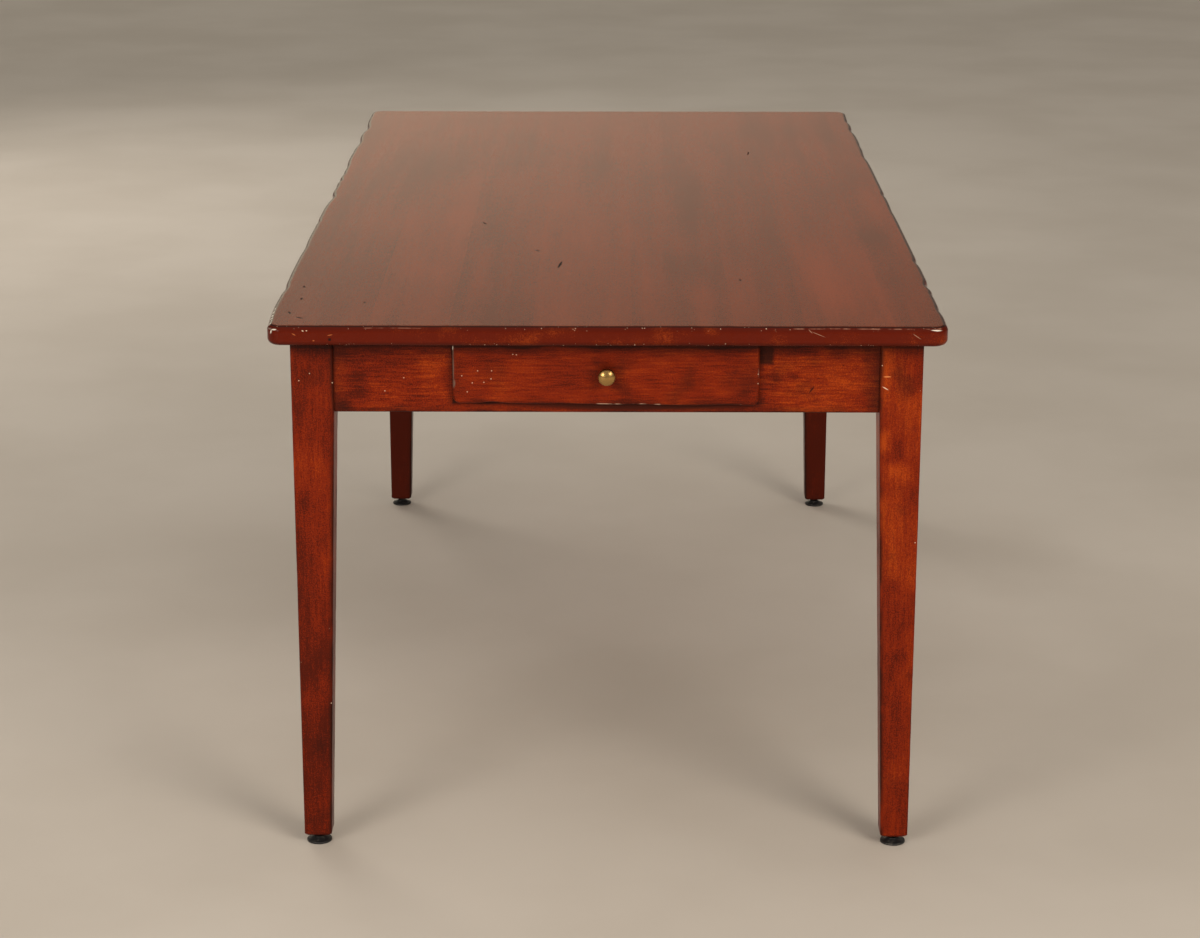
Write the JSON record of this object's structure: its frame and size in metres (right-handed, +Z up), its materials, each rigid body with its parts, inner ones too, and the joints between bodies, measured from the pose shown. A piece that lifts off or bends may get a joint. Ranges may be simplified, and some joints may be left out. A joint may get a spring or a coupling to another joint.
{
  "type": "tavern table",
  "caption": "Long plank-top tavern table with tapered square legs, plain aprons, a lipped drawer with a brass knob in one end, and screw levellers under the legs.",
  "frame": {"origin": "on the floor under the middle of the top", "axes": "+Z up, +Y along the length to the rear end, +X to the right as seen from the drawer end; the drawer pulls out along -Y"},
  "size_m": [0.903, 1.77, 0.762],
  "materials": {
    "top_wood": "red-brown stained cherry under a satin lacquer, distressed and dark glazed",
    "frame_wood": "red-brown stained cherry under a satin lacquer, worn at the arrises",
    "inner_wood": "plain unstained hardwood, planed",
    "panel_wood": "plain thin panel, sanded",
    "knob_brass": "aged brass, rubbed bright on the crown",
    "zinc_steel": "zinc plated",
    "stud_steel": "blackened steel",
    "pad_plastic": "black moulded plastic"
  },
  "bodies": {
    "table_frame": {"top_board_1": "top_wood", "top_board_2": "top_wood", "top_board_3": "top_wood", "top_board_4": "top_wood", "top_board_5": "top_wood", "top_board_6": "top_wood", "top_board_7": "top_wood", "top_board_8": "top_wood", "leg_front_left": "frame_wood", "leg_front_right": "frame_wood", "leg_rear_left": "frame_wood", "leg_rear_right": "frame_wood", "side_apron_left": "frame_wood", "side_apron_right": "frame_wood", "front_apron": "frame_wood", "rear_apron": "frame_wood", "corner_block_front_left": "inner_wood", "corner_block_front_right": "inner_wood", "corner_block_rear_left": "inner_wood", "corner_block_rear_right": "inner_wood", "cross_rail_front": "inner_wood", "cross_rail_rear": "inner_wood", "top_buttons": "inner_wood", "drawer_runner_left": "inner_wood", "drawer_runner_right": "inner_wood", "drawer_kicker_left": "inner_wood", "drawer_kicker_right": "inner_wood", "hanger_bolts": "zinc_steel", "hanger_washers": "zinc_steel", "hanger_nuts": "zinc_steel", "block_screws": "zinc_steel", "button_screws": "zinc_steel", "kicker_screws": "zinc_steel", "leg_inserts": "zinc_steel"},
    "drawer": {"drawer_front": "frame_wood", "drawer_side_left": "inner_wood", "drawer_side_right": "inner_wood", "drawer_back": "inner_wood", "drawer_bottom": "panel_wood", "bottom_brads": "zinc_steel", "drawer_knob": "knob_brass", "knob_screw": "zinc_steel"},
    "leveller_pad_front_left": {"leveller_pad_front_left": "pad_plastic"},
    "leveller_stud_front_left": {"leveller_stud_front_left": "stud_steel"},
    "leveller_pad_front_right": {"leveller_pad_front_right": "pad_plastic"},
    "leveller_stud_front_right": {"leveller_stud_front_right": "stud_steel"},
    "leveller_pad_rear_left": {"leveller_pad_rear_left": "pad_plastic"},
    "leveller_stud_rear_left": {"leveller_stud_rear_left": "stud_steel"},
    "leveller_pad_rear_right": {"leveller_pad_rear_right": "pad_plastic"},
    "leveller_stud_rear_right": {"leveller_stud_rear_right": "stud_steel"}
  },
  "joints": [
    {"name": "drawer_slide", "type": "slide", "parent": "table_frame", "child": "drawer", "axis": [0, -1, 0], "range_m": [0, 0.33]},
    {"name": "leveller_rise_front_left", "type": "slide", "parent": "table_frame", "child": "leveller_pad_front_left", "axis": [0, 0, -1], "range_m": [-0.0021, 0.0182]},
    {"name": "leveller_turn_front_left", "type": "hinge", "parent": "leveller_pad_front_left", "child": "leveller_stud_front_left", "pos_m": [-0.404, -0.8085, 0.012], "axis": [0, 0, -1], "range_deg": [-576, 5184]},
    {"name": "leveller_rise_front_right", "type": "slide", "parent": "table_frame", "child": "leveller_pad_front_right", "axis": [0, 0, -1], "range_m": [-0.0021, 0.0182]},
    {"name": "leveller_turn_front_right", "type": "hinge", "parent": "leveller_pad_front_right", "child": "leveller_stud_front_right", "pos_m": [0.404, -0.8085, 0.012], "axis": [0, 0, -1], "range_deg": [-576, 5184]},
    {"name": "leveller_rise_rear_left", "type": "slide", "parent": "table_frame", "child": "leveller_pad_rear_left", "axis": [0, 0, -1], "range_m": [-0.0021, 0.0182]},
    {"name": "leveller_turn_rear_left", "type": "hinge", "parent": "leveller_pad_rear_left", "child": "leveller_stud_rear_left", "pos_m": [-0.404, 0.8085, 0.012], "axis": [0, 0, -1], "range_deg": [-576, 5184]},
    {"name": "leveller_rise_rear_right", "type": "slide", "parent": "table_frame", "child": "leveller_pad_rear_right", "axis": [0, 0, -1], "range_m": [-0.0021, 0.0182]},
    {"name": "leveller_turn_rear_right", "type": "hinge", "parent": "leveller_pad_rear_right", "child": "leveller_stud_rear_right", "pos_m": [0.404, 0.8085, 0.012], "axis": [0, 0, -1], "range_deg": [-576, 5184]}
  ],
  "couplings": [
    {"joint": "leveller_rise_front_left", "follows": "leveller_turn_front_left", "m_per_rad": 0.00019894},
    {"joint": "leveller_rise_front_right", "follows": "leveller_turn_front_right", "m_per_rad": 0.00019894},
    {"joint": "leveller_rise_rear_left", "follows": "leveller_turn_rear_left", "m_per_rad": 0.00019894},
    {"joint": "leveller_rise_rear_right", "follows": "leveller_turn_rear_right", "m_per_rad": 0.00019894}
  ]
}
